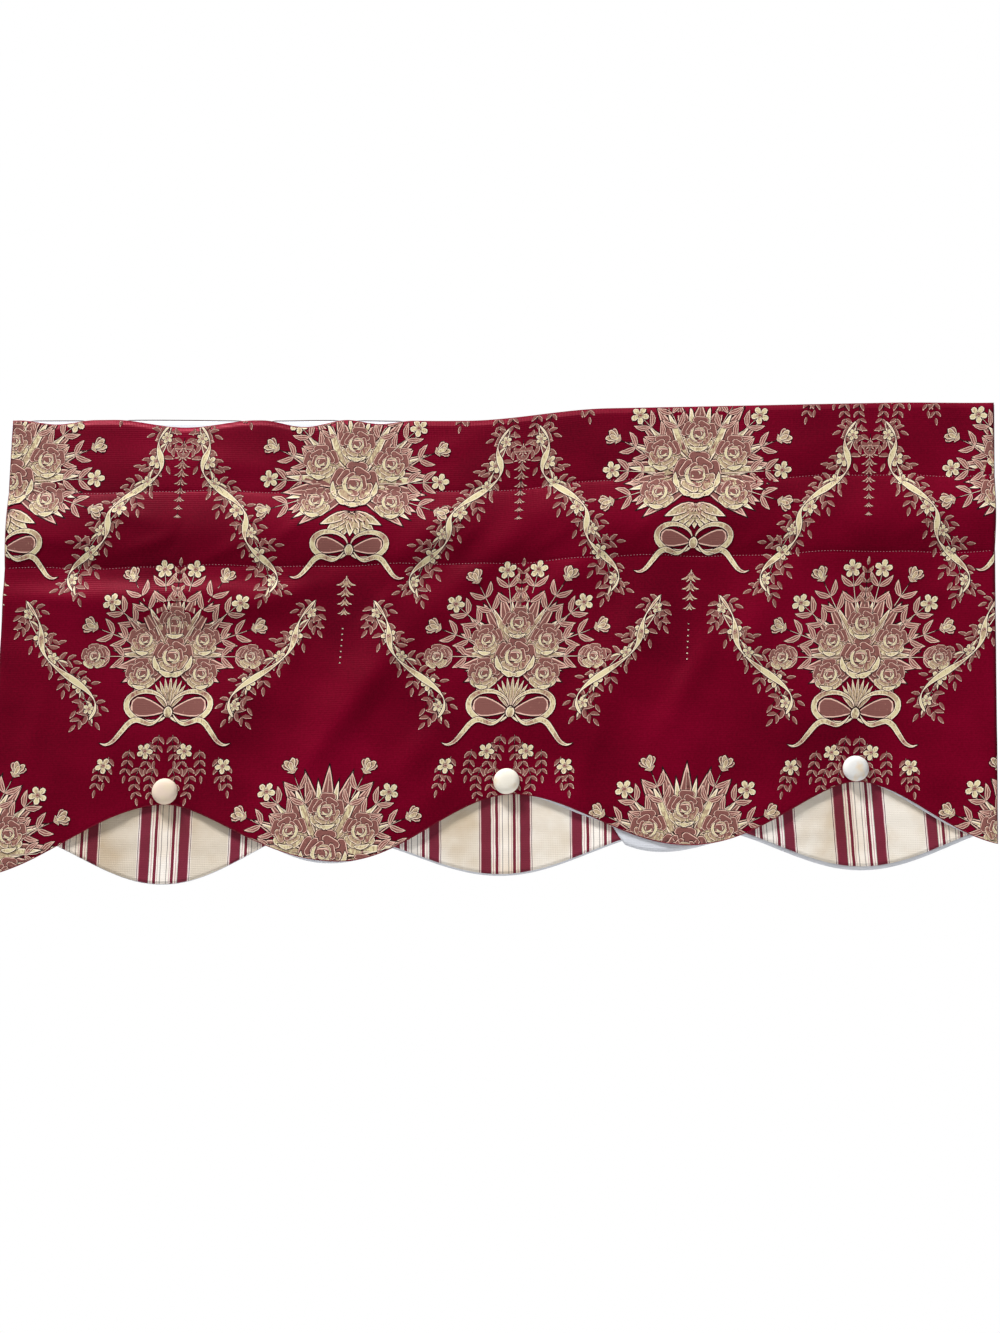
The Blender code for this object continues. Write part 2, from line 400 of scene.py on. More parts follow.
def face_levels(u, top, hem, fineness):
    """Depths of the rows of a face or lining, closer at both rows of stitching and at the hem."""
    start, end = top(u), hem(u)
    header, pocket, skirt = fineness
    level = np.ones_like(u)
    levels = [start + (HEADER - start) * math.sin(t * math.pi / 2) for t in spread(0, 1, header)]
    levels += [(HEADER + POCKET * swing(t)) * level for t in spread(0, 1, pocket)[1:]]
    levels += [
        POCKET_FOOT + (end - POCKET_FOOT) * (t + swing(t)) / 2 for t in spread(0, 1, skirt)[1:]
    ]
    return np.array(levels)


def even_levels(u, top, hem, fineness):
    start, end = top(u), hem(u)
    return np.array([start + (end - start) * t for t in spread(0, 1, fineness)])


def finished(name, bm, surface, behind, materials, thick=None):
    """Hangs a flat bmesh, keeps its flat place as the cloth UV map, and makes its object."""
    obj = made_object(name, bm, materials)
    mesh = obj.data
    flat = np.empty(len(mesh.vertices) * 3)
    mesh.vertices.foreach_get("co", flat)
    flat = flat.reshape(-1, 3)
    corners = np.empty(len(mesh.loops), dtype=np.int32)
    mesh.loops.foreach_get("vertex_index", corners)
    layer = mesh.uv_layers.new(name="cloth")
    layer.data.foreach_set("uv", flat[corners, :2].ravel())
    mesh.vertices.foreach_set("co", hang(flat, surface, behind).ravel())
    mesh.update()
    if thick:
        wall = obj.modifiers.new("thickness", "SOLIDIFY")
        wall.thickness = thick
        wall.offset = -1.0
        wall.use_even_offset = False
    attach(obj, "root")
    return obj


def pour(part, whole):
    """Empties one bmesh into another. Small parts stay quick to work on this way."""
    mesh = bpy.data.meshes.new("part")
    part.to_mesh(mesh)
    part.free()
    whole.from_mesh(mesh)
    bpy.data.meshes.remove(mesh)


def face_forward(bm):
    """Turns flat faces so that they look at the viewer once they hang."""
    bm.normal_update()
    bmesh.ops.reverse_faces(bm, faces=[f for f in bm.faces if f.normal.z > 0])


def cloth(name, span, columns, top, hem, levels, fineness, surface, behind, material):
    """One sheet of cloth between two side edges, a top edge and a hem."""
    across = np.array(spread(span[0], span[1], columns))
    depths = levels(across, top, hem, fineness)
    rows = len(depths) - 1
    bm = bmesh.new()
    bmesh.ops.create_grid(bm, x_segments=columns, y_segments=rows, size=1.0)
    to_edge = bm.verts.layers.float.new("to_edge")
    for vert in bm.verts:
        column = round((vert.co.x + 1) / 2 * columns)
        row = round((1 - vert.co.y) / 2 * rows)
        u, w = across[column], depths[row][column]
        vert.co = (u, w, 0)
        vert[to_edge] = min(u - span[0], span[1] - u, depths[-1][column] - w) / MM
    face_forward(bm)
    obj = finished(name, bm, surface, behind, [material], CLOTH_THICK)
    width = span[1] - span[0]
    drops = hem(across) - top(across)
    return obj, (width, float(np.max(drops))), width * float(np.mean(drops))


# Colours and materials

# Each colour's sRGB value, and what it is the colour of
PALETTE = {
    "red": ("#66021B", "Ground of the face cloth"),
    "red_deep": ("#4C0113", "Ground where it is darkest"),
    "red_bright": ("#7B0425", "Ground where it is brightest, and its sheen"),
    "red_gleam": ("#E0104A", "Gleam of the satin floats"),
    "outline": ("#210308", "Dark line round each float of the figure"),
    "mauve": ("#80504A", "Darkest silk of the figure"),
    "rose_tan": ("#98695E", "Silk between mauve and tan"),
    "tan": ("#B1997B", "Middle silk of the figure"),
    "cream": ("#D6C99F", "Palest silk of the figure"),
    "contour": ("#E4BBAA", "Contour thread on dark silk"),
    "highlight": ("#F4E1C9", "Contour thread on pale silk"),
    "stripe_white": ("#F3EBE2", "White of the stripe"),
    "stripe_red": ("#74152F", "Red of the stripe"),
    "stripe_pink": ("#C79AA0", "Pink of the stripe, and lights of the sewing thread"),
    "stripe_grey": ("#8F8583", "Grey of the stripe"),
    "stripe_brown": ("#7E6466", "Brown of the stripe"),
    "ivory": ("#E4DCD0", "Plain field of the middle and right inserts"),
    # Painted shade: the left insert's ivory, darker and warmer where it hangs in shade
    "ivory_shaded": ("#D3C7B6", "Plain field of the left insert"),
    "ivory_shade": ("#DCCBB2", "Yellowing of the inserts and buttons"),
    "lining": ("#D2D4DA", "White lining"),
    "lining_shade": ("#CBCDD4", "White lining where it is darkest"),
    # Painted shadow: the dark line along the lining's top edge
    "lining_top_shadow": ("#4A3A3C", "Turning of the face that shows above the lining"),
    # Painted shadow at the step of the lining's turned-in hem
    "hem_step_shadow": ("#8E9096", "Step at the edge of the lining's hem"),
    "hem_thread": ("#E9E7E2", "Thread of the lining's hem"),
    "thread": ("#9E4257", "Sewing thread of the pocket"),
    # Painted shade: the left button's cloth, darker and warmer where it hangs in shade
    "button_shaded": ("#DCC8B6", "Cloth of the left button"),
    "button_ivory": ("#E6E0D2", "Cloth of the middle button"),
    "button_cool": ("#D9D8D5", "Cloth of the right button"),
    "stage": ("#FFFFFF", "Backdrop paper"),
}


def linear(code):
    """An sRGB hex colour as linear light."""
    parts = [int(code[i : i + 2], 16) / 255 for i in (1, 3, 5)]
    light = [p / 12.92 if p <= 0.04045 else ((p + 0.055) / 1.055) ** 2.4 for p in parts]
    return (*light, 1.0)


def dyed(name):
    """A colour of the palette, as the settings have it."""
    return tuple(getattr(bpy.context.scene.valance_colours, name))


class Nodes:
    """The nodes of a material or of the world."""

    def __init__(self, owner):
        owner.use_nodes = True
        self.tree = owner.node_tree

    def fill(self, node, inputs):
        """Gives a node's inputs their values or links."""
        for key, value in inputs.items():
            if isinstance(value, bpy.types.NodeSocket):
                self.tree.links.new(value, node.inputs[key])
            else:
                node.inputs[key].default_value = value

    def add(self, kind, inputs=None, output=0, stops=(), **settings):
        """Adds a node with its settings, the values or links of its inputs, and the places and
        colours of its ramp. The result is one of its outputs."""
        node = self.tree.nodes.new(kind)
        for key, value in settings.items():
            setattr(node, key, value)
        self.fill(node, inputs or {})
        if stops:
            elements = node.color_ramp.elements
            while len(elements) < len(stops):
                elements.new(0.5)
            for element, (place, colour) in zip(elements, stops):
                element.position = place
                element.color = dyed(colour)
        return node.outputs[output]


class Finish(Nodes):
    """A new material, its shader and its nodes."""

    def __init__(self, name, roughness, sheen=0.0, specular=0.3):
        self.material = bpy.data.materials.new(name)
        super().__init__(self.material)
        self.shader = self.tree.nodes["Principled BSDF"]
        self.fill(self.shader, {"Roughness": roughness, "Specular IOR Level": specular,
                                "Sheen Weight": sheen, "Sheen Roughness": 0.45})

    def done(self, colour, height, strength, distance=0.0002):
        """Puts the colour and the relief on the shader, and gives the material."""
        bump = self.add(
            "ShaderNodeBump", {"Strength": strength, "Distance": distance, "Height": height}
        )
        self.fill(self.shader, {"Base Color": colour, "Normal": bump})
        return self.material


MATH = "ShaderNodeMath"
MIX = "ShaderNodeMix"
NOISE = "ShaderNodeTexNoise"
RAMP = "ShaderNodeValToRGB"
WAVE = "ShaderNodeTexWave"

# Metres from band to band of a wave texture whose scale is 1
BAND = 0.314

WEAVE_WOBBLE = {"Distortion": 0.6, "Detail": 1.0, "Detail Scale": 1.5}


def cloth_place(nodes, scale=(1.0, 1.0, 1.0)):
    """The flat place on the cloth, scaled."""
    flat = nodes.add("ShaderNodeUVMap", uv_map="cloth")
    return nodes.add("ShaderNodeMapping", {"Vector": flat, "Scale": scale})


def threads(nodes, place, spacings_mm, directions="XY", wobble=WEAVE_WOBBLE):
    """Height of a plain weave, with a thread every so many millimetres each way. One wave is two
    threads, one over and one under."""
    first, second = (
        nodes.add(WAVE, {"Vector": place, "Scale": BAND / (spacing * MM) / 2, **wobble}, "Fac",
                  bands_direction=direction)
        for spacing, direction in zip(spacings_mm, directions)
    )
    return nodes.add(MATH, {0: first, 1: second}, operation="ADD")


def red_satin():
    """Cotton and viscose satin with a fine weft rib. Its long floats give the red a soft sheen, so
    folds turn lighter and pinker where they face the light. A thread of the rib is drawn at
    1.1 mm, well over its real spacing, so that it shows."""
    nodes = Finish("figured satin, red ground", 0.45, sheen=0.03, specular=0.55)
    nodes.fill(nodes.shader, {"Sheen Tint": dyed("red_bright"), "Specular Tint": dyed("red_gleam")})
    flat = cloth_place(nodes)
    cloudy = nodes.add(NOISE, {"Vector": flat, "Scale": 7.0, "Detail": 3.0}, "Fac")
    speckle = nodes.add(NOISE, {"Vector": flat, "Scale": 420.0, "Detail": 2.0}, "Fac")
    shade = nodes.add(MATH, {0: speckle, 1: 0.45, 2: -0.225}, operation="MULTIPLY_ADD")
    shaded = nodes.add(MATH, {0: cloudy, 1: shade}, operation="ADD")
    ground = nodes.add(
        RAMP, {"Fac": shaded}, stops=((0.28, "red_deep"), (0.5, "red"), (0.74, "red_bright"))
    )
    drawn_out = cloth_place(nodes, (90, 1400, 1))
    slubs = nodes.add(NOISE, {"Vector": drawn_out, "Scale": 1.0, "Detail": 2.0}, "Fac")
    share = nodes.add(MATH, {0: slubs, 1: 0.35}, operation="MULTIPLY")
    streaked = nodes.add(MIX, {0: share, 6: ground, 7: dyed("red_deep")}, 2, data_type="RGBA")
    return nodes.done(streaked, threads(nodes, flat, (0.8, 1.1)), 0.35)


def figure_silk():
    """Cream, tan and mauve brocading threads. Each petal or leaf is floated in one shade that runs
    into the next in thread-wide streaks, with a pale contour thread and a dark line round it. The
    look attribute holds tone, nearness to the rim, and nearness to the vein."""
    nodes = Finish("brocade figure, silk floats", 0.5, sheen=0.1, specular=0.12)
    look = nodes.add(
        "ShaderNodeAttribute", output="Color", attribute_name="look", attribute_type="GEOMETRY"
    )
    tone, rim, vein = nodes.add("ShaderNodeSeparateColor", {"Color": look}).node.outputs
    drawn_out = cloth_place(nodes, (520, 210, 1))
    streaks = nodes.add(NOISE, {"Vector": drawn_out, "Scale": 1.0, "Detail": 3.0}, "Fac")
    centred = nodes.add(MATH, {0: streaks, 1: 0.5}, operation="SUBTRACT")
    shifted = nodes.add(MATH, {0: centred, 1: 1.3, 2: tone}, operation="MULTIPLY_ADD")
    silk = nodes.add(
        RAMP, {"Fac": shifted},
        stops=((0.0, "mauve"), (0.26, "mauve"), (0.36, "rose_tan"), (0.50, "tan"), (0.72, "tan"),
               (0.80, "cream"), (1.0, "cream")),
    )
    contour = nodes.add(RAMP, {"Fac": tone}, stops=((0.2, "contour"), (0.75, "highlight")))
    rib = nodes.add(
        RAMP, {"Fac": tone}, stops=((0.3, "contour"), (0.5, "cream"), (0.62, "rose_tan"))
    )
    on_vein = nodes.add(MATH, {0: vein, 1: 0.42}, operation="LESS_THAN")
    faint = nodes.add(MATH, {0: on_vein, 1: 0.75}, operation="MULTIPLY")
    veined = nodes.add(MIX, {0: faint, 6: silk, 7: rib}, 2, data_type="RGBA")
    on_rim = nodes.add(MATH, {0: rim, 1: 0.40}, operation="LESS_THAN")
    rimmed = nodes.add(MIX, {0: on_rim, 6: veined, 7: contour}, 2, data_type="RGBA")
    on_line = nodes.add(MATH, {0: rim, 1: 0.20}, operation="LESS_THAN")
    lined = nodes.add(MIX, {0: on_line, 6: rimmed, 7: dyed("outline")}, 2, data_type="RGBA")
    return nodes.done(lined, threads(nodes, cloth_place(nodes), (0.7, 0.9)), 0.4)


# Half of the stripe, from its middle outwards: where each colour starts, in millimetres
STRIPES = (
    (0.0, "stripe_white"), (2.6, "stripe_grey"), (3.3, "stripe_white"), (5.6, "stripe_pink"),
    (6.2, "stripe_white"), (7.3, "stripe_red"), (10.4, "stripe_white"), (11.9, "stripe_pink"),
    (12.8, "stripe_white"), (14.2, "stripe_grey"), (14.8, "stripe_red"), (24.6, "stripe_pink"),
    (25.3, "stripe_white"), (26.0, "stripe_brown"), (26.9, "stripe_white"), (27.4, "field"),
)
STRIPE_PERIOD = 0.092


def striped_cotton(insert):
    """Ivory cotton twill with a woven stripe, mirrored about its middle. Faint yellowing shows in
    the plain field."""
    nodes = Finish("striped cotton, " + insert.side, 0.75, sheen=0.1)
    flat = cloth_place(nodes)
    u, w, _ = nodes.add("ShaderNodeSeparateXYZ", {"Vector": flat}).node.outputs
    wobble = nodes.add(NOISE, {"Vector": flat, "Scale": 60.0, "Detail": 1.0}, "Fac")
    aside = insert.stripe_lean * insert.low - insert.stripe_middle
    lean = nodes.add(MATH, {0: w, 1: -insert.stripe_lean, 2: aside}, operation="MULTIPLY_ADD")
    across = nodes.add(MATH, {0: u, 1: lean}, operation="ADD")
    uneven = nodes.add(MATH, {0: wobble, 1: 0.0007, 2: across}, operation="MULTIPLY_ADD")
    folded = nodes.add(MATH, {0: uneven, 1: STRIPE_PERIOD / 2}, operation="PINGPONG")
    share = nodes.add(MATH, {0: folded, 1: STRIPE_PERIOD / 2}, operation="DIVIDE")
    half = STRIPE_PERIOD / 2 / MM
    # The field stop takes the insert's own field colour, which for the left insert carries painted
    # shade.
    stripes = nodes.add(
        RAMP, {"Fac": share},
        stops=[(start / half, insert.field if c == "field" else c) for start, c in STRIPES],
    )
    stripes.node.color_ramp.interpolation = "CONSTANT"
    stain = nodes.add(NOISE, {"Vector": flat, "Scale": 16.0, "Detail": 4.0}, "Fac")
    amount = nodes.add(
        "ShaderNodeMapRange", {"Value": stain, "From Min": 0.42, "From Max": 0.72, "To Max": 0.9}
    )
    colour = nodes.add(MIX, {0: amount, 6: stripes, 7: dyed("ivory_shade")}, 2, data_type="RGBA",
                       blend_type="MULTIPLY")
    return nodes.done(colour, threads(nodes, flat, (0.9, 0.9)), 0.5)


HEM_FOLD_MM = 19.0
HEM_ROW_MM = 17.0
HEM_STITCH = 0.005
HEM_STITCH_SHOWN = 0.0032


def white_cotton():
    """Plain white cotton sateen lining, dull and slightly uneven. A painted shadow line runs along
    its top edge. Its sides and foot are turned in by 19 mm, twice as thick there, with a faint
    painted shadow line at the step, and sewn with a row that is drawn at a 5 mm stitch so that it
    shows."""
    nodes = Finish("cotton lining, plain woven", 0.85)
    flat = cloth_place(nodes)
    cloudy = nodes.add(NOISE, {"Vector": flat, "Scale": 20.0, "Detail": 4.0}, "Fac")
    plain = nodes.add(RAMP, {"Fac": cloudy}, stops=((0.35, "lining_shade"), (0.65, "lining")))
    u, w, _ = nodes.add("ShaderNodeSeparateXYZ", {"Vector": flat}).node.outputs
    # Painted shadow: a dark line along the lining's top edge
    in_top_shadow = nodes.add(MATH, {0: w, 1: TOP_SHADOW_DEPTH}, operation="LESS_THAN")
    top_shadowed = nodes.add(MIX, {0: in_top_shadow, 6: plain, 7: dyed("lining_top_shadow")}, 2, data_type="RGBA")
    to_edge = nodes.add(
        "ShaderNodeAttribute", output="Fac", attribute_name="to_edge", attribute_type="GEOMETRY"
    )
    # Painted shadow: a faint dark line at the step of the turned-in hem
    turned = nodes.add(MATH, {0: to_edge, 1: HEM_FOLD_MM, 2: 0.5}, operation="COMPARE")
    faint = nodes.add(MATH, {0: turned, 1: 0.5}, operation="MULTIPLY")
    folded = nodes.add(MIX, {0: faint, 6: top_shadowed, 7: dyed("hem_step_shadow")}, 2, data_type="RGBA")
    along = nodes.add(MATH, {0: u, 1: w}, operation="ADD")
    beat = nodes.add(MATH, {0: along, 1: HEM_STITCH / 2}, operation="PINGPONG")
    shown = nodes.add(MATH, {0: beat, 1: HEM_STITCH_SHOWN / 2}, operation="LESS_THAN")
    in_row = nodes.add(MATH, {0: to_edge, 1: HEM_ROW_MM, 2: 0.45}, operation="COMPARE")
    stitch = nodes.add(MATH, {0: in_row, 1: shown}, operation="MULTIPLY")
    sewn = nodes.add(MIX, {0: stitch, 6: folded, 7: dyed("hem_thread")}, 2, data_type="RGBA")
    step = nodes.add(
        "ShaderNodeMapRange",
        {"Value": to_edge, "From Min": HEM_FOLD_MM + 0.6, "From Max": HEM_FOLD_MM - 0.6,
         "To Max": 6.0},
    )
    sunk = nodes.add(MATH, {0: in_row, 1: -2.0, 2: step}, operation="MULTIPLY_ADD")
    weave = threads(nodes, flat, (0.8, 0.8))
    return nodes.done(sewn, nodes.add(MATH, {0: weave, 1: sunk}, operation="ADD"), 0.5)


def button_cloth(colour_name):
    """Plain cotton drawn tight over a domed button. Its weave is read from object coordinates."""
    nodes = Finish("button cotton, " + colour_name, 0.7, sheen=0.15)
    place = nodes.add("ShaderNodeTexCoord", output="Object")
    cloudy = nodes.add(NOISE, {"Vector": place, "Scale": 90.0, "Detail": 3.0}, "Fac")
    colour = nodes.add(RAMP, {"Fac": cloudy}, stops=((0.3, "ivory_shade"), (0.5, colour_name)))
    return nodes.done(colour, threads(nodes, place, (0.8, 0.8), "XZ", {"Distortion": 0.4}), 0.4)


def sewing_thread():
    """Spun polyester sewing thread, slightly shiny, a faded pink."""
    nodes = Finish("sewing thread, spun", 0.5, sheen=0.2)
    place = nodes.add("ShaderNodeTexCoord", output="Object")
    twist = nodes.add(WAVE, {"Vector": place, "Scale": 900.0, "Distortion": 2.0}, "Fac")
    # The ridges of the twist are painted in the paler pink: painted highlight
    colour = nodes.add(RAMP, {"Fac": twist}, stops=((0.0, "thread"), (1.0, "stripe_pink")))
    return nodes.done(colour, twist, 0.4, 0.0001)


def stage_paper():
    """Matt white backdrop paper."""
    nodes = Finish("backdrop paper", 0.95)
    place = nodes.add("ShaderNodeTexCoord", output="Object")
    grain = nodes.add(NOISE, {"Vector": place, "Scale": 136.0}, "Fac")
    return nodes.done(dyed("stage"), grain, 0.05, 0.0005)


# Woven figure

TILT = 0.02  # how far a motif's right side hangs lower, for each unit to the right
LIFT = 0.10  # height of the lowest floats above the ground, in millimetres
LAYER = 0.055  # height of a layer of floats above the one below it, in millimetres
EDGE_MARGIN = 0.0009  # how far floats stay inside the edges of the face
LOOK_REACH = 4  # widths of the rim over which the look attribute runs from 0 to 1
SMALLEST_FACE = 1e-9  # area below which a float that runs off the cloth has no face left

# Outlines of floats: the share of the half width at a share s of the length


def leaf_shape(s):
    return np.sin(np.pi * s**0.8) ** 0.85


def petal_shape(s):
    return np.clip(s, 0, 1) ** 0.6 * np.sqrt(np.clip(1 - s**5, 0, 1)) * 1.25


def cup_shape(s):
    return np.sin(np.pi * (0.12 + 0.86 * s)) ** 0.6


def strap_shape(s):
    return np.clip(1 - np.abs(2 * s - 1) ** 6, 0, 1) ** 0.5


def stem_shape(s):
    return 1.0 - 0.55 * s


def heading(angle):
    """A step of one unit at an angle, in degrees."""
    return np.array([math.cos(math.radians(angle)), math.sin(math.radians(angle))])


def through(points, s):
    """A smooth curve through the points, at shares s of its course, and its direction there."""
    points = np.array(points, dtype=float)
    padded = np.vstack((2 * points[0] - points[1], points, 2 * points[-1] - points[-2]))
    place = np.clip(s * (len(points) - 1), 0, len(points) - 1.000001)
    first = place.astype(int)
    t = (place - first)[:, None]
    a, b, c, d = (padded[first + k] for k in range(4))
    at = 0.5 * (2 * b + (c - a) * t + (2 * a - 5 * b + 4 * c - d) * t**2
                + (3 * b - a - 3 * c + d) * t**3)
    way = 0.5 * ((c - a) + 2 * (2 * a - 5 * b + 4 * c - d) * t + 3 * (3 * b - a - 3 * c + d) * t**2)
    return at, way


class Figure:
    """Draws floats of thread flat on one bmesh, in millimetres about a motif's own middle."""

    def __init__(self, motif, side):
        self.bm = bmesh.new()
        self.look = self.bm.verts.layers.float_color.new("look")
        self.motif = motif
        self.side = side

    def float_of(self, points, half, shape=leaf_shape, tone=(0.1, 0.1), layer=1.0, steps=6,
                 ribs=2, rim=None, vein=False, ruffle=0.0, waves=5, fan=0.0, painted_turn_shade=0.0,
                 one_edged=False):
        """A petal, leaf or ribbon: its midrib's points, half width and outline. tone runs from its
        root to its tip, from 0, mauve, to 1, cream. A third number of a point scales the width
        there. fan lifts one side, so that each of a ring of petals lies over the next. ruffle
        makes the edge wavy. The turn shade number darkens it here and there: painted shade, where a
        ribbon would turn away from the light. A one_edged leaf has its pale contour along one side
        only."""
        s = (1 - np.cos(np.pi * np.arange(steps + 1) / steps)) / 2
        rim = rim or min(1.5, max(0.5, half * 0.21))
        at, way = through([p[:2] for p in points], s)
        length = float(np.sum(np.hypot(*np.diff(at, axis=0).T)))
        width = half * shape(s)
        if len(points[0]) == 3:
            width = width * through([(p[2], 0) for p in points], s)[0][:, 0]
        normal = np.column_stack((-way[:, 1], way[:, 0]))
        normal /= np.maximum(np.hypot(*normal.T), 1e-9)[:, None]
        t = np.array([-1, 0, 1] if ribs == 2 else [-1, -0.7, 0, 0.7, 1])
        wavy = 1 + ruffle * np.sin(s * waves * 2 * np.pi)
        out = at[:, None, :] + normal[:, None, :] * (width * wavy)[:, None, None] * t[None, :, None]
        edge = np.minimum(width[:, None] * (1 - np.abs(t)), (1 - s)[:, None] * length)
        if one_edged:
            edge[:, 0] = 0.45 * LOOK_REACH * rim
        shade = tone[0] + (tone[1] - tone[0]) * s
        # Painted shade: darker bands where a ribbon would turn away from the light
        shade = shade - painted_turn_shade * np.clip(np.sin(s * length * 0.16 + half + at[0][0]), 0, 1) ** 2
        x = self.side * out[..., 0]
        y = out[..., 1]
        u = self.motif.u + (x + self.motif.lean * y) * MM
        w = self.motif.w + (TILT * x - y) * MM
        top = face_top(u) + EDGE_MARGIN
        foot = face_hem(u) - EDGE_MARGIN
        limit = HALF - EDGE_MARGIN
        kept = (w > top) & (w < foot) & (np.abs(u) < limit)
        if not kept.any():
            return
        u = np.clip(u, -limit, limit)
        w = np.clip(w, top, foot)
        rise = (LIFT + LAYER * layer + fan * t[None, :]) * MM * np.ones_like(u)
        grid = bmesh.ops.create_grid(self.bm, x_segments=steps, y_segments=len(t) - 1, size=1.0)
        for vert in grid["verts"]:
            i = round((vert.co.x + 1) / 2 * steps)
            j = round((vert.co.y + 1) / 2 * (len(t) - 1))
            mark = abs(t[j]) * width[i] if vein else 1.0
            vert[self.look] = (shade[i], min(1.0, edge[i][j] / rim / LOOK_REACH), mark, 1.0)
            vert.co = (u[i][j], w[i][j], rise[i][j])
        if not kept.all():
            flat = [f for f in {f for v in grid["verts"] for f in v.link_faces}
                    if f.calc_area() < SMALLEST_FACE]
            bmesh.ops.delete(self.bm, geom=flat, context="FACES")

    def sprout(self, x, y, angle, length, half, bend=0.0, **kind):
        """A float that grows from a point at an angle, in degrees, and bends sideways."""
        way = heading(angle)
        start = np.array([x, y], dtype=float)
        knee = start + way * length * 0.5 + np.array([-way[1], way[0]]) * bend * length
        self.float_of([start, knee, start + way * length], half, **kind)

    def stem(self, points, half=0.8, tone=(0.45, 0.6), layer=0.6, steps=6):
        self.float_of(points, half, shape=stem_shape, tone=tone, layer=layer, steps=steps, rim=0.5)

    def leaflets(self, points, length, tone=(0.05, 0.26), layer=0.5, spread_deg=40):
        """A twig with slender leaflets in pairs and one at its tip."""
        course, _ = through(points, np.linspace(0, 1, 9))
        reach = float(np.sum(np.hypot(*np.diff(course, axis=0).T)))
        pairs = max(1, round(reach / length / 0.9))
        at, way = through(points, (np.arange(pairs) + 0.25) / pairs)
        self.stem(points, half=0.5, tone=(0.3, 0.3), layer=layer, steps=5)
        for k in range(pairs):
            angle = math.degrees(math.atan2(way[k][1], way[k][0]))
            size = length * (1.06 - 0.2 * k / pairs)
            for turn in (-spread_deg, spread_deg):
                self.sprout(*at[k], angle + turn, size, size * 0.23, steps=5, tone=tone,
                            layer=layer + 0.6 + 0.5 * (k % 2), bend=turn / 400, one_edged=True)
        end, last = through(points, np.array([1.0]))
        angle = math.degrees(math.atan2(last[0][1], last[0][0]))
        self.sprout(*end[0], angle, length * 0.95, length * 0.2, steps=5, tone=tone,
                    layer=layer + 1, one_edged=True)

    def eye(self, x, y, radius, tone=0.0, layer=9.0):
        self.float_of([(x - radius, y), (x, y), (x + radius, y)], radius, shape=strap_shape,
                      tone=(tone, tone), layer=layer, steps=5, rim=0.45)

    def blossom(self, x, y, radius, petals=5, turn=90.0, tone=(0.62, 0.98), layer=5.0):
        """An open flower with a dark eye."""
        for k in range(petals):
            angle = turn + 360 * k / petals
            self.sprout(x, y, angle, radius, radius * 0.42, shape=petal_shape, tone=tone,
                        layer=layer + 0.5 * (k % 2), steps=5, rim=0.5, fan=0.03)
        self.eye(x, y, radius * 0.22, 0.05, layer + 1.6)

    def tulip(self, x, y, angle, size, layer=4.0, tone=(0.75, 0.5)):
        """A half-open flower seen from the side, in its calyx."""
        for turn, share, shade in ((-34, 0.92, 0.1), (34, 0.92, 0.1), (-17, 1, 0.7), (17, 1, 0.7)):
            self.sprout(x, y, angle + turn, size * share, size * 0.24, shape=petal_shape,
                        tone=(tone[0], tone[1] * shade + 0.15), layer=layer, rim=0.8,
                        bend=-turn / 260, fan=0.03)
            layer += 0.5
        self.sprout(x, y, angle, size * 0.8, size * 0.2, shape=petal_shape, tone=(1.0, 0.45),
                    layer=layer, rim=0.7)
        for turn in (-60, 60):
            self.sprout(x, y, angle + turn, size * 0.42, size * 0.1, tone=(0.5, 0.5),
                        layer=layer + 0.4, rim=0.5, bend=-turn / 300)

    def rose(self, x, y, radius, light=-90.0, layer=5.0, bright=0.9):
        """A full rose. Its petals are mauve with pale edges, and those that face light, in
        degrees, are pale. Its heart is a swirl of crescents. One on the axis is drawn once."""
        if abs(x) < 0.01 and self.side < 0:
            return
        rings = ((5, 0.30, 0.72, 0.52), (4, 0.17, 0.60, 0.48), (3, 0.04, 0.50, 0.40))
        for ring, (count, inner, reach, half) in enumerate(rings):
            for k in range(count):
                angle = 360 * (k + 0.5 * (ring % 2)) / count + 14
                facing = (1 + math.cos(math.radians(angle - light))) / 2
                pale = bright * max(0.0, (facing - 0.45) / 0.55) * (1.0, 0.75, 0.3)[ring]
                root = np.array([x, y]) + heading(angle) * radius * inner
                self.sprout(*root, angle, radius * reach, radius * half, shape=petal_shape,
                            tone=(0.1 + 0.5 * pale, 0.06 + pale), layer=layer + ring * 1.3
                            + 0.4 * (k % 2), ribs=4, steps=7, ruffle=0.06, waves=2, fan=0.035,
                            rim=max(0.6, radius * 0.046))
        self.eye(x, y, radius * 0.30, 0.1, layer + 4.0)
        strokes = ((200, 0.44, 0.10, 0.9), (330, 0.31, 0.09, 0.8), (80, 0.34, 0.07, 0.6),
                   (250, 0.19, 0.07, 0.9), (20, 0.15, 0.05, 0.7))
        for turn, distance, width, tone in strokes:
            crescent = [
                np.array([x, y]) + radius * distance * heading(turn + d + light + 90)
                for d in (-70, -25, 25, 70)
            ]
            self.float_of(crescent, radius * width, shape=leaf_shape, tone=(tone, tone),
                          layer=layer + 4.4, steps=7, rim=0.4)

    def ribbon(self, points, tone=(0.85, 1.0), layer=6.0, steps=None):
        """A silk ribbon. Each point has its own half width, so that it can turn on its edge."""
        # Its tone carries painted shade where the ribbon turns away from the light
        self.float_of(points, 1.0, shape=strap_shape, tone=tone, layer=layer, ribs=4, rim=0.85,
                      painted_turn_shade=0.42, steps=steps or 4 * len(points))

    def fan(self, x, y, angles, count, reach, half, **kind):
        """Floats that spread from one place at even angles. Angles and reach are those of the
        first and the last."""
        for angle, length in zip(spread(*angles, count - 1), spread(*reach, count - 1)):
            self.sprout(x, y, angle, length, half, **kind)

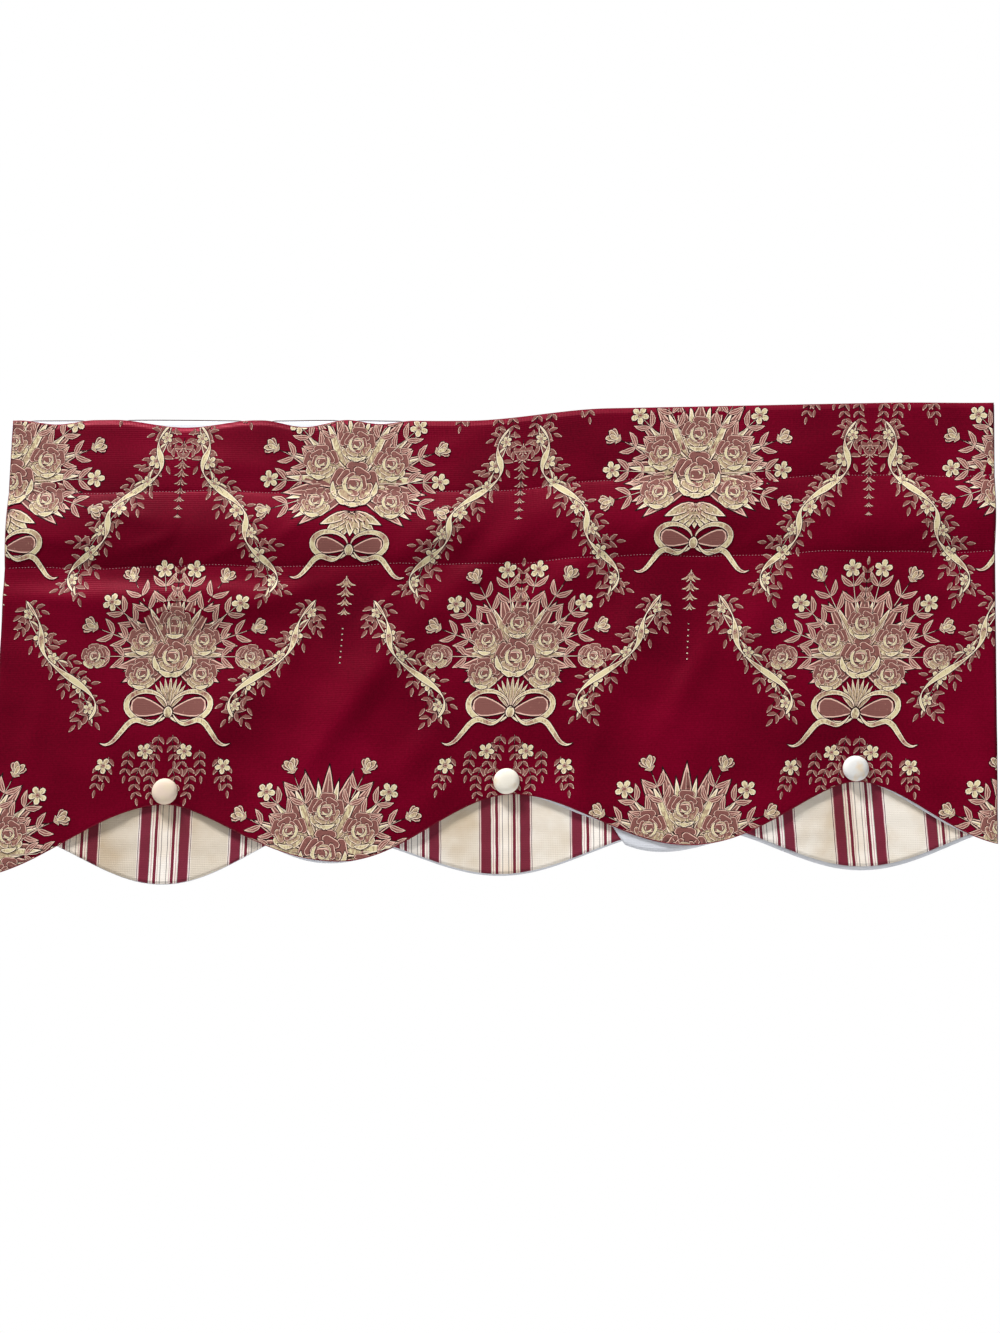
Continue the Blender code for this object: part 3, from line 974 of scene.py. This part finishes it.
    def spray(self, x, y, angle, reach, flower, size, layer=2.0):
        """A stem with two pairs of leaves and a flower at its end."""
        way = heading(angle)
        start = np.array([x, y], dtype=float)
        tip = start + way * reach
        self.stem([start, start + way * reach / 2, tip], 1.1, layer=layer)
        for share in (0.62, 0.8):
            for turn in (-40, 40):
                self.sprout(*(start + way * reach * share), angle + turn, 19, 3.6,
                            tone=(0.05, 0.3), layer=layer - 0.5, vein=True, bend=turn / 400)
        if flower == "tulip":
            self.tulip(*tip, angle, size * 1.3, layer=layer + 2)
        elif flower == "rose":
            self.rose(*tip, size, layer=layer + 1)
        else:
            self.blossom(*tip, size * 0.75, turn=angle, layer=layer + 2)

    def bow(self, x, y, size, layer=6.0):
        """The right loop of a bow with its lining, a tail that waves outwards, and the knot."""
        self.sprout(x + 2, y, 10, size * 0.88, size * 0.28, shape=petal_shape, tone=(0.12, 0.05),
                    layer=layer - 3.4, ribs=4, steps=8)
        course = spread(0, 1, 9)
        loop = [
            (x + size * (1 - math.cos(2 * math.pi * s)) / 2,
             y + size * (0.16 * math.sin(math.pi * s) + 0.36 * math.sin(2 * math.pi * s)),
             1.1 + 2.4 * math.sin(math.pi * s))
            for s in course
        ]
        tail = [
            (x + 3 + size * 1.5 * s, y - size * (0.75 * s + 0.15 * math.sin(3 * math.pi * s)),
             1.3 + 2.0 * math.sin(math.pi * s))
            for s in course
        ]
        self.ribbon(loop, tone=(0.7, 1.0), layer=layer)
        self.ribbon(tail, tone=(0.95, 0.75), layer=layer + 0.8)
        self.sprout(x, y - 6, 90, 12, 5.6, shape=cup_shape, tone=(0.6, 1.0), layer=layer + 2)

    def streamer(self, start, end, sway, turns, layer=6.0):
        """A ribbon wound about a garland. It narrows where it turns on its edge."""
        course = s_curve(start, end, sway, turns, count=round(8 * turns) + 1)
        self.ribbon([(x, y, 1.1 + 2.8 * math.cos(2 * math.pi * k / 8) ** 2)
                     for k, (x, y) in enumerate(course)], layer=layer)

    def rolled_edge(self, points, layer, half=3.4):
        """The pale edge of an outer petal, rolled over in a crescent."""
        self.float_of(points, half, tone=(0.75, 1.0), layer=layer, ribs=4, steps=9, rim=0.8,
                      ruffle=0.08, waves=3)

    def garland(self, points, twigs, length, blossoms, size, layer=1.0):
        """A stem with leafy twigs on both sides, and blossoms at shares of its course."""
        s = (np.arange(twigs) + 0.5) / twigs
        at, way = through(points, s)
        self.stem(points, 0.9, tone=(0.5, 0.7), layer=layer + 1.2, steps=3 * len(points))
        for k in range(twigs):
            along = math.degrees(math.atan2(way[k][1], way[k][0]))
            for side in (-1, 1):
                angle = math.radians(along + side * (50 + 22 * math.sin(2.1 * k + 1.3 * side)))
                reach = length * (0.8 + 0.45 * math.sin(1.3 * k - side) ** 2)
                tip = at[k] + reach * np.array([math.cos(angle), math.sin(angle)])
                knee = (at[k] + tip) / 2 + side * reach * 0.08 * np.array(
                    [-math.sin(angle), math.cos(angle)])
                self.leaflets([at[k], knee, tip], length * 0.76, tone=(0.05, 0.28),
                              layer=layer + 0.4 * (k % 2))
            self.sprout(*at[k], along + 30 * math.sin(1.9 * k), length * 0.9, length * 0.1, steps=5,
                        tone=(0.85, 0.95), layer=layer + 2.4, bend=0.1)
        places, _ = through(points, np.array(blossoms))
        for k, (x, y) in enumerate(places):
            aside = size * 0.6 * math.sin(2.2 * k + 0.4)
            self.blossom(x + aside, y - aside * 0.4, size * (0.8 + 0.22 * (k % 2)), turn=37 * k,
                         tone=(0.6, 0.98), layer=layer + 3 + 0.7 * (k % 3))

    def chevron(self, y, size, tone=(0.1, 0.35)):
        """One link of a bell drop: slender drooping leaflets about the axis."""
        for angle, share in ((-66, 0.9), (-38, 1.0)):
            self.sprout(0.3, y, angle, size * share, size * 0.12, tone=tone, layer=2, steps=5,
                        rim=0.45, bend=-0.22, one_edged=True)
        self.sprout(0, y + size * 0.2, -90, size * 0.5, size * 0.08, tone=tone, layer=2.5, steps=4,
                    rim=0.45)


def arc(x, y, radius, first, last, count=4):
    """Points round a middle, from one angle to another, in degrees."""
    return [np.array([x, y]) + radius * heading(a) for a in spread(first, last, count - 1)]


def s_curve(start, end, sway=0.0, turns=2.0, count=13):
    """An S-shaped course between two places. sway carries it from side to side on its way."""
    return [
        (start[0] + (end[0] - start[0]) * (1 - math.cos(math.pi * s)) / 2
         + sway * math.sin(2 * math.pi * turns * s),
         start[1] + (end[1] - start[1]) * s)
        for s in spread(0, 1, count - 1)
    ]


def tall_bouquet(f):
    """Right half of the tall bouquet, about the knot of the bow that it stands on."""
    middle = (0, 56)
    f.fan(*middle, (90, -45), 9, (74, 56), 8.5, tone=(0.0, 0.14), layer=0.5, ribs=4, vein=True,
          steps=8)
    f.fan(*middle, (82, -37), 7, (62, 52), 5.0, tone=(0.35, 0.8), layer=1.2, ribs=4, steps=7)
    flowers = ("blossom", "tulip", "blossom", "tulip", "rose")
    for k, flower in enumerate(flowers):
        f.spray(*middle, 80 - 20 * k, 92 - 3 * k, flower, 13)
    f.leaflets([(0, 110), (0, 130), (0, 150)], 10, tone=(0.2, 0.5), layer=2)
    for x, y in arc(*middle, 35, 90, -30, 3):
        f.rose(x, y, 16.5, layer=3.4)
        f.rolled_edge(arc(x, y, 14.5, -112, -48), 8.6, half=2.8)
    f.rose(*middle, 21, layer=5.4, bright=1.0)
    for toward in (-25, -70):
        f.rolled_edge(arc(*middle, 19, toward - 32, toward + 32), 11.0)
    f.fan(0, 2, (90, 48), 5, (36, 30), 2.6, tone=(0.5, 0.75), layer=2.6)
    f.bow(0, 0, 43)
    for k, (x, y) in enumerate(s_curve((7, -24), (64, -54), count=5)):
        f.leaflets([(x, y), (x + 1, y - 13), (x + 3, y - 26)], 9, layer=1)
        if k % 2:
            f.blossom(x + 5, y - 9, 8.5, turn=40 * k, layer=4)
    for k in range(2):
        f.leaflets([(9 + 15 * k, -56), (13 + 15 * k, -72), (10 + 15 * k, -88)], 9, layer=1)


def parting_garlands(f):
    """Right half of the leaf drop below a tall bouquet, and of the garlands that part from it."""
    for k in range(9):
        f.chevron(-104 - 9.5 * k, 12.5 - 0.9 * k)
    f.stem([(0, -98), (0, -140), (0, -184)], 0.4, tone=(0.3, 0.3), layer=1)
    start, end = (15, -84), (100, -262)
    f.garland(s_curve(start, end), 13, 14, spread(0.08, 0.92, 6), 8)
    f.streamer(start, end, 9, 2.5)


def broad_bouquet(f):
    """Right half of the broad bouquet round a great rose, its bow, and the garland under it."""
    middle = (0, -22)
    f.fan(*middle, (90, -40), 9, (92, 72), 9.0, tone=(0.0, 0.14), layer=0.5, ribs=4, vein=True,
          steps=8)
    f.fan(*middle, (82, -32), 7, (78, 74), 6.5, tone=(0.5, 0.95), layer=1.2, ribs=4, ruffle=0.08,
          steps=9)
    flowers = ("tulip", "blossom", "tulip", "blossom", "tulip")
    for k, flower in enumerate(flowers):
        f.spray(*middle, 66 - 21 * k, 88, flower, 13)
    for x, y in arc(*middle, 43, 90, -25, 3):
        f.rose(x, y, 18.5, layer=3.4)
        f.rolled_edge(arc(x, y, 16.5, -112, -48), 8.6, half=3.0)
    f.rose(*middle, 25, layer=5.6, bright=1.0)
    for toward in (-15, -55, -90):
        f.rolled_edge(arc(*middle, 22.5, toward - 26, toward + 26), 11.2)
    f.fan(0, -52, (-90, -24), 5, (28, 36), 6.2, tone=(0.3, 0.95), layer=2.8, ribs=4, steps=7)
    f.bow(0, -92, 38)
    for k in range(4):
        f.chevron(-122 - 11 * k, 13 - 1.5 * k, (0.3, 0.6))
    for k in range(7):
        f.eye(0, -176 - 6 * k, 1.0, 0.6, 2)
    start, end = (30, -146), (104, -268)
    f.garland(s_curve(start, end), 9, 14, spread(0.1, 0.9, 4), 8)
    f.streamer(start, end, 9, 1.5)


# Each motif of the woven figure: the middle's u and w, and the lean of its axis to the right, for
# each unit upwards
Motif = namedtuple("Motif", "u w lean")
TALL_BOUQUETS = (
    Motif(-0.334, 0.305, 0.046),
    Motif(0.014, 0.311, 0.070),
    Motif(0.365, 0.319, 0.085),
)
PARTINGS = (
    Motif(-0.325, -0.079, 0.040),
    Motif(0.026, -0.073, 0.045),
    Motif(0.384, -0.065, 0.040),
)
BROAD_BOUQUETS = (
    Motif(-0.506, 0.043, 0.045),
    Motif(-0.151, 0.047, 0.045),
    Motif(0.202, 0.050, 0.045),
    Motif(0.552, 0.054, 0.045),
    Motif(-0.525, 0.427, 0.045),
    Motif(-0.170, 0.430, 0.045),
    Motif(0.192, 0.434, 0.030),
    Motif(0.545, 0.440, 0.040),
)


def woven(name, motifs, drawings, material):
    """Draws each motif of a kind, its right half and its mirrored left half."""
    whole = bmesh.new()
    whole.verts.layers.float_color.new("look")
    for motif in motifs:
        for draw in drawings:
            for side in (1, -1):
                half = Figure(motif, side)
                draw(half)
                pour(half.bm, whole)
    face_forward(whole)
    return finished(name, whole, face_surface, 0.0, [material])


# Sewing


def stitch_row(w, start, end, pitch, length, radius, surface, behind, sign):
    """A row of stitches: small rounded threads that dip into the cloth at both ends."""
    middles = start + pitch * (np.arange(int((end - start) / pitch)) + 0.5)
    row = bmesh.new()
    for middle in middles:
        made = bmesh.ops.create_uvsphere(row, u_segments=6, v_segments=4, radius=1.0)["verts"]
        for vert in made:
            arch = (1 - vert.co.x**2) * radius * 0.5
            depth = sign * arch + vert.co.y * radius
            vert.co = (middle + vert.co.x * length / 2, depth, vert.co.z * radius)
    offsets = np.array([v.co[:] for v in row.verts])
    along = offsets[:, 0]
    line = np.column_stack((along, w + waver(along), np.zeros(len(offsets))))
    for vert, at, offset in zip(row.verts, hang(line, surface, behind), offsets):
        vert.co = (at[0], at[1] + offset[1], at[2] + offset[2])
    return row


def stitches(name, rows, material):
    bm = bmesh.new()
    for row in rows:
        pour(stitch_row(**row), bm)
    obj = made_object(name, bm, [material])
    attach(obj, "root")
    return obj


# Buttons

# Half of a button's section, from its crown to its back, in shares of its radius and its height
BUTTON_LINE = (
    (0.00, 1.00), (0.22, 0.995), (0.44, 0.965), (0.62, 0.90), (0.78, 0.78), (0.90, 0.60),
    (0.975, 0.38), (1.00, 0.22), (0.985, 0.10), (0.93, 0.03), (0.80, 0.00), (0.40, 0.02),
    (0.00, 0.02),
)


def covered_button(button, steps, radius, height):
    """A domed button: its line is spun about its axis, and its cloth is drawn into small tucks
    round the rim."""
    name = "covered_button_" + button.side
    bm = bmesh.new()
    line = [bm.verts.new((r * radius, 0, h * height)) for r, h in BUTTON_LINE]
    edges = [bm.edges.new(pair) for pair in zip(line, line[1:])]
    bmesh.ops.spin(bm, geom=line + edges, cent=(0, 0, 0), axis=(0, 0, 1), angle=2 * math.pi,
                   steps=steps, use_merge=True)
    bmesh.ops.remove_doubles(bm, verts=bm.verts, dist=0.00001)
    bmesh.ops.recalc_face_normals(bm, faces=bm.faces)
    seat = calm(face_height, np.array([button.u]), np.array([button.w]))[0] + BUTTON_GAP
    at = hang(np.array([[button.u, button.w, 0.0]]), lambda u, w: np.full_like(u, seat), 0.0)[0]
    for vert in bm.verts:
        x, y, h = vert.co
        r, angle = math.hypot(x, y), math.atan2(y, x)
        low = max(0.0, 1 - h / height / 0.4) * (r / radius)
        tucks = TUCK_DEPTH * math.sin(angle * 17 + 2 * math.sin(angle * 3)) * low
        uneven = 1 + 0.012 * math.sin(angle * 2 + button.u * 40)
        scale = (r + tucks) / r * uneven if r > 1e-6 else 1.0
        vert.co = (at[0] + x * scale, at[1] - h, at[2] + y * scale)
    bmesh.ops.recalc_face_normals(bm, faces=bm.faces)
    obj = made_object(name, bm, [button_cloth(button.cloth)])
    smooth = obj.modifiers.new("smooth", "SUBSURF")
    smooth.levels = smooth.render_levels = 1
    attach(obj, "root")
    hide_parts("button_" + button.side)
    return obj


# Settings


class ValanceSettings(bpy.types.PropertyGroup):
    face_columns: bpy.props.IntProperty(
        name="Face columns", description="Steps of the face cloth across its width", default=252
    )
    lining_columns: bpy.props.IntProperty(
        name="Lining columns", description="Steps of the lining across its width", default=168
    )
    insert_columns: bpy.props.IntProperty(
        name="Insert columns", description="Steps of an insert across its width", default=72
    )
    button_steps: bpy.props.IntProperty(
        name="Button steps", description="Steps of a button around its axis", default=56
    )
    button_radius: bpy.props.FloatProperty(
        name="Button radius", description="Half the width of a button", default=0.0132,
        unit="LENGTH",
    )
    button_height: bpy.props.FloatProperty(
        name="Button height", description="From the back of a button to its crown", default=0.0068,
        unit="LENGTH",
    )
    stitch_pitch: bpy.props.FloatProperty(
        name="Stitch pitch", description="Distance from one stitch to the next", default=0.0032,
        unit="LENGTH",
    )
    stitch_length: bpy.props.FloatProperty(
        name="Stitch length", description="Visible length of a stitch", default=0.0017, unit="LENGTH"
    )
    thread_radius: bpy.props.FloatProperty(
        name="Thread radius", description="Half the thickness of the sewing thread", default=0.00028,
        unit="LENGTH",
    )


class ColourSettings(bpy.types.PropertyGroup):
    __annotations__ = {
        name: bpy.props.FloatVectorProperty(
            name=name.replace("_", " ").capitalize(), description=description, size=4, min=0.0,
            max=1.0, default=linear(code), subtype="COLOR",
        )
        for name, (code, description) in PALETTE.items()
    }


class StageSettings(bpy.types.PropertyGroup):
    distance: bpy.props.FloatProperty(
        name="Camera distance", description="From the camera to the cloth", default=1.741,
        unit="LENGTH",
    )
    elevation: bpy.props.FloatProperty(
        name="Camera elevation", description="Height of the camera seen from the cloth",
        default=math.radians(-6), subtype="ANGLE",
    )
    roll: bpy.props.FloatProperty(
        name="Camera roll", description="Turn of the camera about its own axis",
        default=math.radians(-1.05), subtype="ANGLE",
    )
    lens: bpy.props.FloatProperty(
        name="Lens", description="Focal length for a 36 mm wide picture", default=61.5
    )
    brightness: bpy.props.FloatProperty(
        name="Brightness", description="Strength of the light from all around", default=0.24
    )


# Operators


class VALANCE_OT_face(bpy.types.Operator):
    """Cut and hang the figured face cloth"""

    bl_idname = "valance.face"
    bl_label = "Face Cloth"

    def execute(self, context):
        settings = context.scene.valance
        obj, flat, area = cloth(
            "face_cloth", (-HALF, HALF), settings.face_columns, face_top, face_hem, face_levels,
            (18, 22, 66), face_surface, 0.0, red_satin(),
        )
        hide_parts("face_panel")
        silk = figure_silk()
        figures = (
            woven("woven_tall_bouquets", TALL_BOUQUETS, (tall_bouquet,), silk),
            woven("woven_garlands", PARTINGS, (parting_garlands, tall_bouquet), silk),
            woven("woven_broad_bouquets", BROAD_BOUQUETS, (broad_bouquet,), silk),
        )
        return {"FINISHED"}


class VALANCE_OT_lining(bpy.types.Operator):
    """Cut and hang the lining behind the face"""

    bl_idname = "valance.lining"
    bl_label = "Lining"

    def execute(self, context):
        settings = context.scene.valance
        obj, flat, area = cloth(
            "lining_cloth", (-HALF - 0.0008, HALF + 0.0008), settings.lining_columns, lining_top,
            lining_hem, face_levels, (12, 18, 42), lining_surface, LINING_BEHIND, white_cotton(),
        )
        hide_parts("face_lining")
        return {"FINISHED"}


class VALANCE_OT_inserts(bpy.types.Operator):
    """Cut and hang the striped inserts, each with its lining"""

    bl_idname = "valance.inserts"
    bl_label = "Inserts"

    def execute(self, context):
        columns = context.scene.valance.insert_columns
        white = white_cotton()
        for insert in INSERTS:
            span = (insert.u - INSERT_HALF, insert.u + INSERT_HALF)
            front, flat, area = cloth(
                "insert_cloth_" + insert.side, span, columns, insert_top, insert_hem(insert),
                even_levels, 84, backing_surface, INSERT_BEHIND, striped_cotton(insert),
            )
            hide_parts("insert_" + insert.side)
            back, flat, area = cloth(
                "insert_backing_" + insert.side, span, columns, insert_top,
                insert_hem(insert, insert.peek), even_levels, 84, backing_surface, BACKING_BEHIND,
                white,
            )
            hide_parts("insert_lining_" + insert.side)
        return {"FINISHED"}


class VALANCE_OT_sewing(bpy.types.Operator):
    """Sew both rows of stitching along the rod pocket"""

    bl_idname = "valance.sewing"
    bl_label = "Sewing"

    def execute(self, context):
        settings = context.scene.valance
        thread = sewing_thread()
        common = {
            "start": -HALF + 0.004, "end": HALF - 0.004, "pitch": settings.stitch_pitch,
            "length": settings.stitch_length, "radius": settings.thread_radius,
        }
        front = {"surface": face_surface, "behind": 0.0, "sign": -1, **common}
        back = {
            "surface": lining_surface, "behind": LINING_BEHIND + CLOTH_THICK, "sign": 1, **common
        }
        rows = [{"w": w, **side} for w in (HEADER, POCKET_FOOT) for side in (front, back)]
        obj = stitches("pocket_stitching", rows, thread)
        return {"FINISHED"}


class VALANCE_OT_buttons(bpy.types.Operator):
    """Cover the buttons"""

    bl_idname = "valance.buttons"
    bl_label = "Buttons"

    def execute(self, context):
        settings = context.scene.valance
        for button in BUTTONS:
            covered_button(
                button, settings.button_steps, settings.button_radius, settings.button_height
            )
        return {"FINISHED"}


FLOOR_RADIUS = 1.1
FLOOR_HEIGHT = -1.25
CAMERA_AIM = Vector((-0.0084, 0.0, -0.258))

Lamp = namedtuple("Lamp", "name at aim size watts")
LAMPS = (
    Lamp("key_light", (-2.2, -2.1, 5.3), (-0.05, 0, -0.25), 1.2, 690),
    Lamp("fill_light", (1.8, -2.2, 0.4), (0.1, 0, -0.25), 1.6, 12),
    Lamp("back_light", (1.6, 2.4, 2.6), (0, 0, -0.25), 1.4, 130),
)


def area_light(lamp):
    """A round soft light, turned to what it lights."""
    data = bpy.data.lights.new(lamp.name, "AREA")
    data.shape = "DISK"
    data.size = lamp.size
    data.energy = lamp.watts
    obj = bpy.data.objects.new(lamp.name, data)
    obj.location = lamp.at
    way = Vector(lamp.aim) - Vector(lamp.at)
    obj.rotation_euler = way.to_track_quat("-Z", "Y").to_euler()
    bpy.context.scene.collection.objects.link(obj)


def studio_world(brightness):
    """Even light from all around, behind which the camera sees white."""
    world = bpy.data.worlds.new("studio")
    nodes = Nodes(world)
    seen = nodes.add("ShaderNodeLightPath", output="Is Camera Ray")
    strength = nodes.add(
        "ShaderNodeMapRange", {"Value": seen, "To Min": brightness, "To Max": 1.0}
    )
    background = nodes.tree.nodes["Background"]
    nodes.fill(background, {"Color": (1, 1, 1, 1), "Strength": strength})
    return world


class VALANCE_OT_stage(bpy.types.Operator):
    """Set the backdrop, the lights and the camera"""

    bl_idname = "valance.stage"
    bl_label = "Stage"

    def execute(self, context):
        scene = context.scene
        settings = scene.valance_stage
        bm = bmesh.new()
        bmesh.ops.create_circle(bm, cap_ends=True, segments=96, radius=FLOOR_RADIUS)
        bmesh.ops.translate(bm, vec=(0, 0, FLOOR_HEIGHT), verts=bm.verts)
        made_object("floor", bm, [stage_paper()])
        scene.world = studio_world(settings.brightness)
        for lamp in LAMPS:
            area_light(lamp)
        scene.view_settings.view_transform = "Standard"

        camera = bpy.data.objects.new("camera", bpy.data.cameras.new("camera"))
        camera.data.sensor_fit = "HORIZONTAL"
        camera.data.sensor_width = 36
        camera.data.lens = settings.lens
        pitch = -settings.elevation
        away = Vector((0, -math.cos(pitch), -math.sin(pitch)))
        camera.location = CAMERA_AIM + settings.distance * away
        upright = Matrix.Rotation(math.pi / 2 + pitch, 3, "X")
        camera.rotation_euler = (upright @ Matrix.Rotation(settings.roll, 3, "Z")).to_euler()
        scene.collection.objects.link(camera)
        scene.camera = camera
        return {"FINISHED"}


class VALANCE_PT_panel(bpy.types.Panel):
    """Lists the steps of the valance"""

    bl_label = "Window Valance"
    bl_idname = "VALANCE_PT_panel"
    bl_space_type = "VIEW_3D"
    bl_region_type = "UI"
    bl_category = "Valance"

    def draw(self, context):
        column = self.layout.column()
        for step in STEPS:
            column.operator(step)
        scene = context.scene
        for group in (scene.valance, scene.valance_colours, scene.valance_stage):
            for name in group.__annotations__:
                column.prop(group, name)


STEPS = (
    "valance.face",
    "valance.lining",
    "valance.inserts",
    "valance.sewing",
    "valance.buttons",
    "valance.stage",
)
CLASSES = (
    ValanceSettings,
    ColourSettings,
    StageSettings,
    VALANCE_OT_face,
    VALANCE_OT_lining,
    VALANCE_OT_inserts,
    VALANCE_OT_sewing,
    VALANCE_OT_buttons,
    VALANCE_OT_stage,
    VALANCE_PT_panel,
)


def register():
    for item in CLASSES:
        bpy.utils.register_class(item)
    bpy.types.Scene.valance = bpy.props.PointerProperty(type=ValanceSettings)
    bpy.types.Scene.valance_colours = bpy.props.PointerProperty(type=ColourSettings)
    bpy.types.Scene.valance_stage = bpy.props.PointerProperty(type=StageSettings)


def unregister():
    del bpy.types.Scene.valance_stage
    del bpy.types.Scene.valance_colours
    del bpy.types.Scene.valance
    for item in reversed(CLASSES):
        bpy.utils.unregister_class(item)


def main():
    register()
    bpy.ops.valance.face()
    bpy.ops.valance.lining()
    bpy.ops.valance.inserts()
    bpy.ops.valance.sewing()
    bpy.ops.valance.buttons()
    bpy.ops.valance.stage()


if __name__ == "__main__":
    main()
